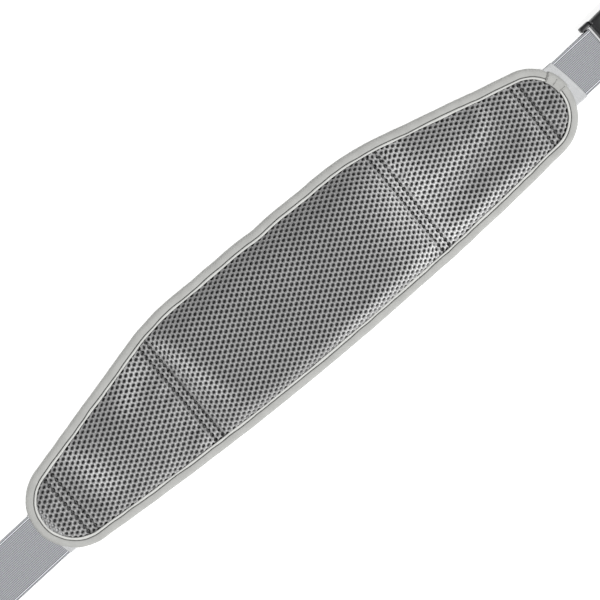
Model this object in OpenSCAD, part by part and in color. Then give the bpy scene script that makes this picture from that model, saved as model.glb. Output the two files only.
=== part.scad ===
// Lumbar back brace: a quilted mesh pad with an elastic strap at each end.
// The pad lies on its back at z = 0, its mesh face up, its long axis along X.

/* [Pad outline] */
// Distance from tip to tip
pad_length = 496; // [400:1:640]
// Height of the top edge above the line through the two tips
pad_rise = 67; // [55:0.5:90]
// Depth of the bottom edge below that line
pad_drop = 44; // [38:0.5:60]
// Radius of the rounded tips
tip_radius = 35; // [32:0.5:37]
// Length of the straight stretch in the middle of the top edge
crown_length = 132; // [80:1:160]
// Radius of the bend at each end of that stretch
shoulder_radius = 200; // [150:1:260]

/* [Pad layers] */
// Thickness of the pad at the middle of a quilted section
pad_thick = 14; // [12:0.5:20]
// Thickness of the layers squeezed inside the bound edge, besides the strap
edge_filling = 3.1; // [2.9:0.1:4]
// Thickness of the mesh face
mesh_thick = 2.5; // [2:0.1:3]
// Thickness of the back cover
back_thick = 1.2; // [1:0.1:1.4]
// Width of the binding tape on the face
binding_width = 8; // [6:0.5:9]
// Thickness of the binding tape
binding_thick = 1; // [0.8:0.1:1.1]

/* [Quilting] */
// Distance from the middle to the wide channels
wing_channel = 106; // [80:1:130]
// Length of the small section at each tip, beyond the last channel
tip_section = 31; // [28:0.5:60]
// Width of the flat band between two rows of stitches
channel_width = 7; // [5:0.5:9]
// Length of one stitch
stitch_length = 3; // [2:0.5:4]

/* [Straps] */
// Width of the long, adjustable strap on the left
left_strap_width = 40; // [34:1:44]
// Width of the short strap on the right
right_strap_width = 35; // [30:1:37]
// Thickness of the elastic webbing
strap_thick = 1.4; // [1.2:0.1:1.5]
// Length of the long strap, from its tab to the adjusting bar
left_strap_length = 290; // [260:1:420]
// Distance from the left tab to the place where the long strap bends
strap_bend_at = 110; // [60:1:114]
// Length of the short strap, from its tab to the bar it turns round
right_strap_length = 27; // [24:0.5:60]
// Distance of the left strap below the line through the tips
left_strap_drop = 7.5; // [0:0.5:10]
// Distance of the right strap above that line
right_strap_rise = 3.8; // [0:0.2:10]
// Angle between the straps and the long axis of the pad
strap_angle = 2.8; // [0:0.1:5]
// How far the loose tail of the long strap reaches back from the bar
tail_length = 60; // [50:1:64]

/* [Buckle] */
// Width of the adjusting plug's side rails
plug_rail = 4; // [3:0.5:6]
// Width of the socket's side rails
socket_rail = 4; // [3.5:0.5:6]
// Thickness of the socket's side walls
socket_wall = 4.5; // [3:0.5:6]
// Length of the socket beyond its slot
socket_length = 39; // [36:0.5:50]
// Height of the socket
socket_high = 9.8; // [9:0.1:12]
// Radius of the plug's adjusting bar
plug_bar_radius = 1.9; // [1.6:0.1:2.1]
// Radius of the socket's bar
socket_bar_radius = 1.6; // [1.3:0.1:1.6]
// Length of the two spring prongs
prong_length = 31; // [28:0.5:36]

/* [Hidden] */
$fn = 48;
sew_gap = 0.05;                 // between sewn layers
fold_gap = 0.4;                 // between two sections at a fold
slide_gap = 0.1;                // between webbing and what it slides on
web_clearance = 0.5;            // beside webbing in a slot
edge_thick = 2 * binding_thick + edge_filling + strap_thick;
tip_x = pad_length / 2 - tip_radius;
tip_channel = pad_length / 2 - tip_section;
crown_half = crown_length / 2;
bottom_radius = (tip_x * tip_x + pad_drop * pad_drop - tip_radius * tip_radius) / (2 * (pad_drop - tip_radius));
shoulder_y = pad_rise - shoulder_radius;
shoulder_reach = sqrt(pow(tip_x - crown_half, 2) + pow(shoulder_y, 2));
side_angle = atan2(-shoulder_y, tip_x - crown_half) + acos((shoulder_radius - tip_radius) / shoulder_reach);
bottom_angle = atan2(bottom_radius - pad_drop, tip_x);
pad_middle_y = (pad_rise - pad_drop) / 2;
half_channel = channel_width / 2;
half_fold = fold_gap / 2;
stitch_thick = 0.5;
stitch_out = half_channel - 0.9; // from the middle of a channel to its row of stitches

// Heights of the layers inside the bound edge
skirt_low = binding_thick + 2 * sew_gap;
skirt_top = skirt_low + back_thick;
flange_top = edge_thick - binding_thick - 2 * sew_gap;
flange_low = flange_top - 1.15;
foam_low = skirt_top + sew_gap;
foam_edge_top = flange_low - sew_gap;
crown_inset = binding_width + 0.4;

// Webbing heights: the long strap lies under its own tail
web_low = flange_top - 0.8 - strap_thick;
web_mid = web_low + strap_thick / 2;
web_top = web_low + strap_thick;
tail_low = web_top + slide_gap;
tail_top = tail_low + strap_thick;
satin_thick = 0.4;
tab_low = web_low - sew_gap - satin_thick;
tab_top = web_top + sew_gap + satin_thick;
pocket_end = tip_channel + 7;

// The places where the straps leave their tabs
left_root = [-(pad_length / 2 + 3), -left_strap_drop];
right_root = [pad_length / 2 + 9, right_strap_rise];
knuckle = strap_thick / 2 + slide_gap;

// Half the width of the socket's mouth, which the plug's prongs fill
cavity_half = right_strap_width / 2 + web_clearance + socket_rail - socket_wall;

// The adjusting plug, measured from the middle of its bar
plug_bar_z = tail_low + plug_bar_radius;
wrap_inner = plug_bar_radius + slide_gap;
wrap_outer = wrap_inner + strap_thick;
plug_width = left_strap_width + 2 * (web_clearance + plug_rail);
end_bar_from = -14.5;
end_bar_wide = 5;
far_slot_end = wrap_outer + 2.4;
cross_wide = 4.2;
prong_thick = 4;
prong_root = [far_slot_end + cross_wide + prong_thick / 2 + 0.2, cavity_half - 1.5 - prong_thick / 2];
prong_low = 3.6;
prong_high = 4.8;
plug_low = 1;
plug_top = 9.4;
adjust_travel = 50;
run_from = 150;
hem_length = 12;
keeper_wide = 15;
keeper_from = -38;
elastic_thick = 0.9;

// The socket, measured from the middle of its bar
loop_inner = socket_bar_radius + slide_gap;
loop_outer = loop_inner + strap_thick;
loop_meet = 12;
loop_angle = asin(loop_inner / loop_meet);
socket_width = right_strap_width + 2 * (web_clearance + socket_rail);
socket_from = loop_outer + 2;
socket_low = 0.2;
cavity_from = socket_from + 6;
cavity_low = 2.2;
cavity_high = 6;
window_from = socket_from + 16;
window_long = 14;

// ---- Outline ----

function arc(centre, radius, from, to, steps) = [
    for (i = [0:steps]) centre + radius * [cos(from + (to - from) * i / steps), sin(from + (to - from) * i / steps)]
];

// The pad's outline, drawn in from the edge by a chosen distance, anticlockwise from the right tip
function outline(inset) = concat(
    arc([tip_x, 0], tip_radius - inset, -bottom_angle, side_angle, 24),
    arc([crown_half, shoulder_y], shoulder_radius - inset, side_angle, 90, 4),
    arc([-crown_half, shoulder_y], shoulder_radius - inset, 90, 180 - side_angle, 4),
    arc([-tip_x, 0], tip_radius - inset, 180 - side_angle, 180 + bottom_angle, 24),
    [for (p = [1:15])
        [0, bottom_radius - pad_drop] + (bottom_radius - inset)
        * [cos(180 + bottom_angle + (180 - 2 * bottom_angle) * p / 16),
           sin(180 + bottom_angle + (180 - 2 * bottom_angle) * p / 16)]]
);

module section_shape(from, to, inset) {
    intersection() {
        polygon(outline(inset));
        translate([from, -pad_length / 2]) square([to - from, pad_length]);
    }
}

module layer(from, to, inset, low, top) {
    translate([0, 0, low]) linear_extrude(top - low) section_shape(from, to, inset);
}

// A puffed block with sides that lean in twice, first steeply and then gently
module pillow(from, to, inset, low, top, lean) {
    half_long = (to - from) / 2;
    half_high = (pad_rise + pad_drop) / 2 - inset;
    middle = [(from + to) / 2, pad_middle_y * max(0, 1 - abs(from + to) / (2 * tip_x))];
    first = [1 - lean / half_long, 1 - lean / half_high];
    second = [1 - lean * 0.8 / half_long, 1 - lean * 0.8 / half_high];
    rise = (top - low) * 0.68;
    translate([middle[0], middle[1], low]) {
        linear_extrude(rise, scale = first, slices = 1, $fn = 0) translate(-middle) section_shape(from, to, inset);
        translate([0, 0, rise]) linear_extrude(top - low - rise, scale = second, slices = 1, $fn = 0)
            scale(first) translate(-middle) section_shape(from, to, inset);
    }
}

// ---- One quilted section of the pad ----

// The crown of a section stands between its channels; the tips have no channel on their outer side
function crown_from(from) = from + half_channel;
function crown_to(to) = to - half_channel;

module foam(from, to, top, lean) {
    color("dimgray") {
        layer(from, to, binding_thick + 3 * sew_gap, foam_low, foam_edge_top);
        pillow(crown_from(from) + 1, crown_to(to) - 1, crown_inset + 1, foam_edge_top - 0.5,
            top - mesh_thick, lean);
    }
}

module mesh_face(from, to, top, lean) {
    color("silver") difference() {
        union() {
            layer(from, to, binding_thick + 3 * sew_gap, flange_low, flange_top);
            pillow(crown_from(from), crown_to(to), crown_inset, flange_low + 0.5, top, lean);
        }
        pillow(crown_from(from) + 1 - sew_gap, crown_to(to) - 1 + sew_gap, crown_inset + 1 - sew_gap,
            foam_edge_top - 0.5, top - mesh_thick + sew_gap, lean);
    }
}

module back_cover(from, to) {
    color("darkgray") {
        layer(from, to, binding_width + 0.3, 0, skirt_top);
        layer(from, to, binding_thick + 3 * sew_gap, skirt_low, skirt_top);
    }
}

// The binding is a tape folded round the edge, with one flange on the face and one on the back
module binding(from, to) {
    color("lightgray") difference() {
        layer(from, to, 0, 0, edge_thick);
        layer(from - 1, to + 1, binding_width, -1, edge_thick + 1);
        layer(from - 1, to + 1, binding_thick, binding_thick, edge_thick - binding_thick);
    }
}

// A row of stitches along a channel at x, held to the stretch between the bindings
module stitch_row(x) {
    reach = binding_width + 4;
    pitch = stitch_length * 4 / 3;
    intersection() {
        for (y = [-pad_drop : pitch : pad_rise])
            translate([x - stitch_thick / 2, y, flange_top + sew_gap])
                cube([stitch_thick, stitch_length, stitch_thick]);
        layer(x - 1, x + 1, reach, 0, pad_thick);
    }
}

module stitching(rows) {
    color("gray") for (x = rows) stitch_row(x);
}

// The pocket that holds the sewn end of a strap and its satin tab, inside a tip
module strap_pocket(root, width) {
    reach = abs(root[0]) - pocket_end + 20;
    translate([root[0], root[1], tab_low - sew_gap]) rotate(strap_angle)
        translate([root[0] > 0 ? 20 - reach : -20, -width / 2 - 0.8, 0])
            cube([reach, width + 1.6, tab_top - tab_low + 2 * sew_gap]);
}

module strap_pockets() {
    strap_pocket(left_root, left_strap_width);
    strap_pocket(right_root, right_strap_width);
}

// ---- The five sections ----

centre_span = [-wing_channel + half_fold, wing_channel - half_fold];
right_wing_span = [wing_channel + half_fold, tip_channel - half_fold];
right_tip_span = [tip_channel + half_fold, pad_length / 2 + half_channel - crown_inset];
tip_end = pad_length / 2 + 1;
wing_top = pad_thick - 1;
tip_top = pad_thick - 5;
crown_lean = 10;
tip_lean = 3.6;

module centre_foam() { foam(centre_span[0], centre_span[1], pad_thick, crown_lean); }
module centre_mesh_face() { mesh_face(centre_span[0], centre_span[1], pad_thick, crown_lean); }
module centre_back_cover() { back_cover(centre_span[0], centre_span[1]); }
module centre_binding() { binding(centre_span[0], centre_span[1]); }
module centre_stitching() { stitching([-wing_channel + stitch_out, wing_channel - stitch_out]); }

module right_wing_foam() { foam(right_wing_span[0], right_wing_span[1], wing_top, crown_lean); }
module right_wing_mesh_face() { mesh_face(right_wing_span[0], right_wing_span[1], wing_top, crown_lean); }
module right_wing_back_cover() { back_cover(right_wing_span[0], right_wing_span[1]); }
module right_wing_binding() { binding(right_wing_span[0], right_wing_span[1]); }
module right_wing_stitching() { stitching([wing_channel + stitch_out, tip_channel - stitch_out]); }

module left_wing_foam() { foam(-right_wing_span[1], -right_wing_span[0], wing_top, crown_lean); }
module left_wing_mesh_face() { mesh_face(-right_wing_span[1], -right_wing_span[0], wing_top, crown_lean); }
module left_wing_back_cover() { back_cover(-right_wing_span[1], -right_wing_span[0]); }
module left_wing_binding() { binding(-right_wing_span[1], -right_wing_span[0]); }
module left_wing_stitching() { stitching([-wing_channel - stitch_out, -tip_channel + stitch_out]); }

// A tip's layers run on under the binding, while its crown stops short of it
module tip_foam() {
    difference() {
        union() {
            foam(right_tip_span[0], right_tip_span[1], tip_top, tip_lean);
            color("dimgray") layer(right_tip_span[0], tip_end, binding_thick + 3 * sew_gap, foam_low, foam_edge_top);
        }
        children();
    }
}

module tip_mesh_face() {
    difference() {
        union() {
            mesh_face(right_tip_span[0], right_tip_span[1], tip_top, tip_lean);
            color("silver") difference() {
                layer(right_tip_span[0], tip_end, binding_thick + 3 * sew_gap, flange_low, flange_top);
                layer(right_tip_span[0] - 1, right_tip_span[1] - 1, 0, 0, pad_thick);
            }
        }
        children();
    }
}

module tip_back_cover() {
    difference() {
        back_cover(right_tip_span[0], tip_end);
        children();
    }
}

module tip_binding() {
    difference() {
        binding(right_tip_span[0], tip_end);
        children();
    }
}

module tip_stitching() { stitching([tip_channel + stitch_out]); }

module right_tip_foam() { tip_foam() strap_pockets(); }
module right_tip_mesh_face() { tip_mesh_face() strap_pockets(); }
module right_tip_back_cover() { tip_back_cover() strap_pockets(); }
module right_tip_binding() { tip_binding() strap_pockets(); }
module right_tip_stitching() { tip_stitching(); }

module left_tip_foam() { mirror([1, 0, 0]) tip_foam() mirror([1, 0, 0]) strap_pockets(); }
module left_tip_mesh_face() { mirror([1, 0, 0]) tip_mesh_face() mirror([1, 0, 0]) strap_pockets(); }
module left_tip_back_cover() { mirror([1, 0, 0]) tip_back_cover() mirror([1, 0, 0]) strap_pockets(); }
module left_tip_binding() { mirror([1, 0, 0]) tip_binding() mirror([1, 0, 0]) strap_pockets(); }
module left_tip_stitching() { mirror([1, 0, 0]) tip_stitching(); }

// The two ends of the binding tape lap over each other on the right tip
module binding_lap() {
    color("lightgray") intersection() {
        difference() {
            layer(tip_channel, tip_end, -0.2, edge_thick + sew_gap, edge_thick + 0.8);
            layer(tip_channel - 1, tip_end + 1, binding_width - 0.6, 0, pad_thick);
        }
        translate([tip_x, 1, 0]) cube([pad_length, 17, pad_thick]);
    }
}

// ---- Straps ----

// Places its children with +X along a strap, out from the pad, and zero at the strap's root
module on_left_strap() { translate(left_root) rotate(180 + strap_angle) children(); }
module on_right_strap() { translate(right_root) rotate(strap_angle) children(); }

module webbing(from, to, low, width) {
    translate([from, -width / 2, low]) cube([to - from, width, strap_thick]);
}

// A strip of webbing whose near end is rounded so that it turns inside its neighbour's end
module hinged_webbing(from, to, width) {
    webbing(from, to, web_low, width);
    translate([from, width / 2, web_mid]) rotate([90, 0, 0]) cylinder(h = width, r = strap_thick / 2);
}

// The satin tab is folded round the strap's sewn end
module anchor_tab(root, width) {
    reach = abs(root[0]) - pocket_end - 2;
    color("whitesmoke") difference() {
        translate([-reach, -width / 2 - 0.6, tab_low]) cube([reach - knuckle, width + 1.2, tab_top - tab_low]);
        translate([-reach - 1, -width / 2 - 0.15, web_low - sew_gap])
            cube([reach + 2, width + 0.3, strap_thick + 2 * sew_gap]);
    }
}

module strap_root(root, width) {
    reach = abs(root[0]) - pocket_end - 3;
    color("lightsteelblue") webbing(-reach, -knuckle, web_low, width);
}

module left_anchor_tab() { on_left_strap() anchor_tab(left_root, left_strap_width); }
module left_strap_root() { on_left_strap() strap_root(left_root, left_strap_width); }
module right_anchor_tab() { on_right_strap() anchor_tab(right_root, right_strap_width); }
module right_strap_root() { on_right_strap() strap_root(right_root, right_strap_width); }

module left_strap_inner() {
    color("lightsteelblue") on_left_strap() hinged_webbing(0, strap_bend_at - knuckle, left_strap_width);
}

module left_strap_outer() {
    color("lightsteelblue") on_left_strap() hinged_webbing(strap_bend_at, run_from - sew_gap, left_strap_width);
}

// The run that grows shorter as the plug is drawn towards the pad
module left_strap_run() {
    color("lightsteelblue") on_left_strap()
        webbing(run_from, left_strap_length - sew_gap, web_low, left_strap_width);
}

// Places its children with zero at the middle of the plug's bar
module on_plug() { on_left_strap() translate([left_strap_length, 0, 0]) children(); }

// The webbing goes up through the far slot, over the bar and down through the near slot
module strap_wrap() {
    color("lightsteelblue") on_plug() {
        translate([0, left_strap_width / 2, plug_bar_z]) rotate([90, 0, 0]) linear_extrude(left_strap_width)
            difference() {
                circle(wrap_outer);
                circle(wrap_inner);
                translate([-wrap_outer - 1, -wrap_outer - 1]) square([wrap_outer + 1, wrap_outer + 1]);
            }
        webbing(-wrap_outer - 2, -wrap_inner, tail_low, left_strap_width);
        translate([-wrap_outer, -left_strap_width / 2, tail_low])
            cube([strap_thick, left_strap_width, plug_bar_radius]);
    }
}

module strap_tail() {
    color("lightsteelblue") on_plug()
        webbing(-tail_length + hem_length + sew_gap, -wrap_outer - 2 - sew_gap, tail_low, left_strap_width);
}

module tail_hem() {
    color("lightsteelblue") on_plug() {
        translate([-tail_length, -left_strap_width / 2, tail_low])
            cube([hem_length, left_strap_width, 2 * strap_thick]);
    }
}

module elastic_keeper() {
    low = web_low - slide_gap;
    high = tail_top + slide_gap;
    half = left_strap_width / 2 + 0.3;
    color("gray") on_plug() difference() {
        translate([keeper_from, -half - elastic_thick, low - elastic_thick])
            cube([keeper_wide, 2 * (half + elastic_thick), high - low + 2 * elastic_thick]);
        translate([keeper_from - 1, -half, low]) cube([keeper_wide + 2, 2 * half, high - low]);
    }
}

// The short strap turns round the socket's bar and is sewn back on itself
module right_strap_loop() {
    width = right_strap_width;
    turn_z = web_low;
    leg = loop_inner / tan(loop_angle);
    color("lightsteelblue") on_right_strap() {
        hinged_webbing(0, right_strap_length - loop_meet + 0.5, width);
        webbing(6, right_strap_length - loop_meet + 0.5, web_low - strap_thick, width);
        translate([right_strap_length, width / 2, turn_z]) rotate([90, 0, 0]) linear_extrude(width) {
            difference() {
                circle(loop_outer);
                circle(loop_inner);
                translate([-loop_outer - 1, -loop_outer - 1]) square([loop_outer + 1, 2 * loop_outer + 2]);
            }
            for (side = [0, 1]) mirror([0, side]) rotate(loop_angle)
                translate([-leg, loop_inner]) square([leg + 0.3, strap_thick]);
        }
    }
}

// ---- Buckle ----

module plug_block(from, to, half_from, half_to, low, top) {
    for (side = [0, 1]) mirror([0, side, 0])
        translate([from, half_from, low]) cube([to - from, half_to - half_from, top - low]);
}

// Side rails, end bar, adjusting bar, cross piece and guide tongue are one moulding
module plug_frame() {
    half = plug_width / 2;
    color("black") on_plug() {
        plug_block(end_bar_from, far_slot_end + cross_wide, half - plug_rail, half, plug_low, plug_top);
        translate([end_bar_from, -half, tail_top + slide_gap])
            cube([end_bar_wide, plug_width, plug_top - tail_top - slide_gap]);
        translate([0, half - 1, plug_bar_z]) rotate([90, 0, 0]) cylinder(h = plug_width - 2, r = plug_bar_radius);
        translate([far_slot_end, -half, plug_low]) cube([cross_wide, plug_width, plug_top - plug_low]);
        translate([far_slot_end, -3, prong_low]) cube([cross_wide + prong_length - 4, 6, prong_high]);
        translate([far_slot_end + cross_wide + prong_length - 4, 0, prong_low]) cylinder(h = prong_high, r = 3);
    }
}

// A spring prong: a slim arm with a catch that springs out sideways
module prong() {
    tip = prong_length - prong_thick / 2;
    catch = 9;
    translate([prong_root[0], prong_root[1], prong_low]) linear_extrude(prong_high) {
        circle(prong_thick / 2);
        polygon([
            [0, -prong_thick / 2],
            [tip, -prong_thick / 2 - 1],
            [tip + 2, 0],
            [tip - catch, 6.5],
            [tip - catch - 4, 6.5],
            [tip - catch - 4, 2],
            [0, prong_thick / 2]
        ]);
    }
}

module upper_prong() { color("black") on_plug() mirror([0, 1, 0]) prong(); }
module lower_prong() { color("black") on_plug() prong(); }

module buckle_socket() {
    half = socket_width / 2;
    end = socket_from + socket_length;
    window_half = half + 1 - cavity_half;
    color("black") on_right_strap() translate([right_strap_length, 0, 0]) difference() {
        union() {
            plug_block(0, socket_from + 1, half - socket_rail, half, socket_low, 2 * web_low - socket_low);
            plug_block(-web_low + socket_low, 0.5, half - socket_rail, half, socket_low, 2 * web_low - socket_low);
            translate([0, half - 1, web_low]) rotate([90, 0, 0])
                cylinder(h = socket_width - 2, r = socket_bar_radius);
            translate([socket_from, -half, socket_low]) cube([socket_length, socket_width, socket_high - socket_low]);
        }
        translate([cavity_from, -cavity_half, cavity_low]) cube([end, 2 * cavity_half, cavity_high]);
        plug_block(window_from, window_from + window_long, cavity_half - 1, cavity_half + window_half,
            cavity_low, cavity_low + cavity_high);
    }
}

centre_foam();
centre_mesh_face();
centre_back_cover();
centre_binding();
centre_stitching();
left_wing_foam();
left_wing_mesh_face();
left_wing_back_cover();
left_wing_binding();
left_wing_stitching();
right_wing_foam();
right_wing_mesh_face();
right_wing_back_cover();
right_wing_binding();
right_wing_stitching();
left_tip_foam();
left_tip_mesh_face();
left_tip_back_cover();
left_tip_binding();
left_tip_stitching();
right_tip_foam();
right_tip_mesh_face();
right_tip_back_cover();
right_tip_binding();
right_tip_stitching();
binding_lap();
left_anchor_tab();
left_strap_root();
left_strap_inner();
left_strap_outer();
left_strap_run();
strap_wrap();
strap_tail();
tail_hem();
elastic_keeper();
plug_frame();
upper_prong();
lower_prong();
right_anchor_tab();
right_strap_root();
right_strap_loop();
buckle_socket();
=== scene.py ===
import bmesh
import bpy
import math
import numpy as np
from mathutils import Matrix, Vector, noise
from mathutils.bvhtree import BVHTree
from mathutils.kdtree import KDTree


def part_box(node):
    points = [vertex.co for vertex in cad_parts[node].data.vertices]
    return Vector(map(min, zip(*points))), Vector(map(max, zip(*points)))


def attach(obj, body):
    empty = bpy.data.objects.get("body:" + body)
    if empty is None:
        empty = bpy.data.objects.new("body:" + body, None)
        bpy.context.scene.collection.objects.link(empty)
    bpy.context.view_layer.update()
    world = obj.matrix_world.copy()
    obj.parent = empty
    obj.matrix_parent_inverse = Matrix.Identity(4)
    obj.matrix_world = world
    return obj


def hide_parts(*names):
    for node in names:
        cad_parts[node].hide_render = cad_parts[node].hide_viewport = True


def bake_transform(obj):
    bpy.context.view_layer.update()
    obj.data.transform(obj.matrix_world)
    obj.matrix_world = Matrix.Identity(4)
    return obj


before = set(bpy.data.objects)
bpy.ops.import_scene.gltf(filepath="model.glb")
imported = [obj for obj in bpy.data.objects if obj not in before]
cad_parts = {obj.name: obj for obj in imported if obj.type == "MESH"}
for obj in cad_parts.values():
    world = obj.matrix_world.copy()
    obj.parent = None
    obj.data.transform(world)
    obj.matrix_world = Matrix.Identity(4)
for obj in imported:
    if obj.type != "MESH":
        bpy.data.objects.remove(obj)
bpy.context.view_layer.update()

# ---- The view --------------------------------------------------------------
# The brace lies on its back on a pale table, seen from almost straight above
# and a little from its upper edge, with its long axis rising to the right.

camera_data = bpy.data.cameras.new("camera")
camera = bpy.data.objects.new("camera", camera_data)
bpy.context.collection.objects.link(camera)
bpy.context.scene.camera = camera
camera_distance = 1.25
picture_width = 0.4294  # what the picture spans at the pad
camera_height_angle = math.radians(96.5)  # past 90 the camera stands beyond the upper edge
camera_lean = math.radians(2)  # towards the left strap
camera_roll = math.radians(39.7)
aim = Vector((0.001, 0.0061, 0.004))
up_share, back_share = math.sin(camera_height_angle), -math.cos(camera_height_angle)
away = Vector((-math.sin(camera_lean), back_share, up_share)).normalized()
level_up = (Vector((0, 1, 0)) - away * away.y).normalized()
screen_up = Matrix.Rotation(-camera_roll, 3, away) @ level_up
screen_right = screen_up.cross(away)
camera.matrix_world = Matrix((
    (screen_right.x, screen_up.x, away.x, aim.x + away.x * camera_distance),
    (screen_right.y, screen_up.y, away.y, aim.y + away.y * camera_distance),
    (screen_right.z, screen_up.z, away.z, aim.z + away.z * camera_distance),
    (0, 0, 0, 1),
))
camera_data.sensor_width = 36
camera_data.lens = camera_data.sensor_width * camera_distance / picture_width
camera_data.clip_start = 0.05


def area_light(name, place, size, power):
    """A square soft light that shines at the pad."""
    data = bpy.data.lights.new(name, "AREA")
    data.shape = "SQUARE"
    data.size = size
    data.energy = power
    light = bpy.data.objects.new(name, data)
    bpy.context.collection.objects.link(light)
    light.location = place
    light.rotation_euler = Vector(place).to_track_quat("Z", "Y").to_euler()


area_light("key_light", (1.8, -2.6, 3.9), 1.8, 232)
area_light("fill_light", (-2.6, 1.6, 2.6), 1.4, 66)
world = bpy.data.worlds.new("studio")
bpy.context.scene.world = world
world.use_nodes = True
sky = world.node_tree.nodes["Background"]
sky.inputs["Color"].default_value = (1, 1, 1, 1)
sky.inputs["Strength"].default_value = 0.2
bpy.context.scene.view_settings.view_transform = "Standard"

# ---- Edge of the pad ----------------------------------------------------------
# The pad is cut as one outline: round tips, two soft shoulders with a flat
# crown between them, and a long shallow curve underneath.

MM = 0.001
pad_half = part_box("right_tip_binding")[1][0]
pad_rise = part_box("centre_binding")[1][1]
pad_drop = -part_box("centre_binding")[0][1]
edge_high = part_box("centre_binding")[1][2]
tip_radius = 35 * MM
crown_half = 66 * MM
shoulder_radius = 200 * MM
tip_x = pad_half - tip_radius
bottom_radius = (tip_x ** 2 + pad_drop ** 2 - tip_radius ** 2) / (2 * (pad_drop - tip_radius))
shoulder = Vector((crown_half, pad_rise - shoulder_radius, 0))
to_tip = Vector((tip_x, 0, 0)) - shoulder
side_angle = math.atan2(to_tip.y, to_tip.x) + math.acos((shoulder_radius - tip_radius) / to_tip.length)
bottom_angle = math.atan2(bottom_radius - pad_drop, tip_x)


def edge_stations(step):
    """Points on the pad's edge with their outward directions, anticlockwise from the right tip."""
    bends = [
        (Vector((tip_x, 0, 0)), tip_radius, -bottom_angle, side_angle),
        (shoulder, shoulder_radius, side_angle, math.pi / 2),
        (Vector((-shoulder.x, shoulder.y, 0)), shoulder_radius, math.pi / 2, math.pi - side_angle),
        (Vector((-tip_x, 0, 0)), tip_radius, math.pi - side_angle, math.pi + bottom_angle),
        (Vector((0, bottom_radius - pad_drop, 0)), bottom_radius, math.pi + bottom_angle,
         2 * math.pi - bottom_angle),
    ]
    found = []
    for centre, radius, start, end in bends:
        count = max(2, round(radius * (end - start) / step))
        for k in range(count + 1):
            angle = start + (end - start) * k / count
            out = Vector((math.cos(angle), math.sin(angle), 0))
            point = centre + out * radius
            if found:
                before, before_out = found[-1]
                gap = (point - before).length
                if gap < step * 0.2:
                    continue
                fill = round(gap / step)
                for share in (m / fill for m in range(1, fill)):
                    found.append((before.lerp(point, share), before_out.lerp(out, share).normalized()))
            found.append((point, out))
    found.pop()
    return found


def edge_sway(point):
    """How far the sewn edge wanders out from its pattern line."""
    dent = -0.9 * math.exp(-((point.x / MM - 7) / 10) ** 2) if point.y > 0 else 0
    return MM * (dent + 0.55 * noise.noise(point * 22) + 0.2 * noise.noise(point * 90))


edge = edge_stations(2 * MM)
edge_tree = KDTree(len(edge))
for index, (point, out) in enumerate(edge):
    edge_tree.insert(point, index)
edge_tree.balance()


def inset_of(x, y):
    """Distance in from the pad's edge."""
    spot = Vector((x, y, 0))
    point, out = edge[edge_tree.find(spot)[1]]
    return (point - spot).dot(out)


# ---- Quilted face ---------------------------------------------------------------
# The mesh and its foam are sewn down along the bound edge and along two rows
# of stitches at each channel, and puff up between them. Cloth simulation puffs
# the sheet; the other layers take their heights from it.

channels = (-217 * MM, -106 * MM, 106 * MM, 217 * MM)
row_offset = 3.2 * MM
sewn_height = 4.9 * MM
sheet_step = 2.2 * MM
bind_width = 8 * MM
frames_to_settle = 21
foam_softness = 7  # passes that take out creases too sharp for foam


def from_stitches(x):
    """Distance along the pad to the nearest row of channel stitches."""
    return min(abs(abs(x - channel) - row_offset) for channel in channels)


def sheet_columns():
    """Where the sheet's columns stand, so that some of them lie exactly on the rows of stitches."""
    marks = [-pad_half + 2 * MM]
    for channel in channels:
        marks += [channel - row_offset, channel + row_offset]
    marks.append(pad_half - 2 * MM)
    columns = [marks[0]]
    for a, b in zip(marks, marks[1:]):
        count = max(1, round((b - a) / sheet_step))
        columns += [a + (b - a) * k / count for k in range(1, count + 1)]
    return columns


def fullness(x, y):
    """Swells and hollows that the hand-sewn wings and centre have, as a share of the puff."""
    total = 1
    for at_x, at_y, wide_x, wide_y, amount in (
        # middle along and across the pad, reach along and across, share of the puff added or taken
        (-113, 44, 20, 17, -0.55), (-150, 14, 22, 22, 0.16), (-178, -22, 20, 12, -0.14),
        (-128, -12, 14, 26, -0.16), (-96, 40, 12, 16, 0.20), (-60, 10, 30, 40, 0.05),
        (0, 24, 60, 26, -0.06), (45, -26, 48, 13, 0.10), (70, 0, 22, 40, 0.14),
        (148, 24, 34, 9, 0.26), (150, -8, 36, 9, -0.42), (146, -26, 36, 8, 0.22),
        (180, 22, 13, 12, 0.28), (197, 2, 12, 16, -0.40), (120, 44, 16, 10, -0.30),
    ):
        total += amount * math.exp(-((x / MM - at_x) / wide_x) ** 2 - ((y / MM - at_y) / wide_y) ** 2)
    return total


def surface(bm, across, along, place):
    """A grid of across by along faces, each corner put where place(i, j) says."""
    made = bmesh.ops.create_grid(bm, x_segments=across, y_segments=along, size=0.5)["verts"]
    for v in made:
        v.co = place(round((v.co.x + 0.5) * across), round((v.co.y + 0.5) * along))
    return made


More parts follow.
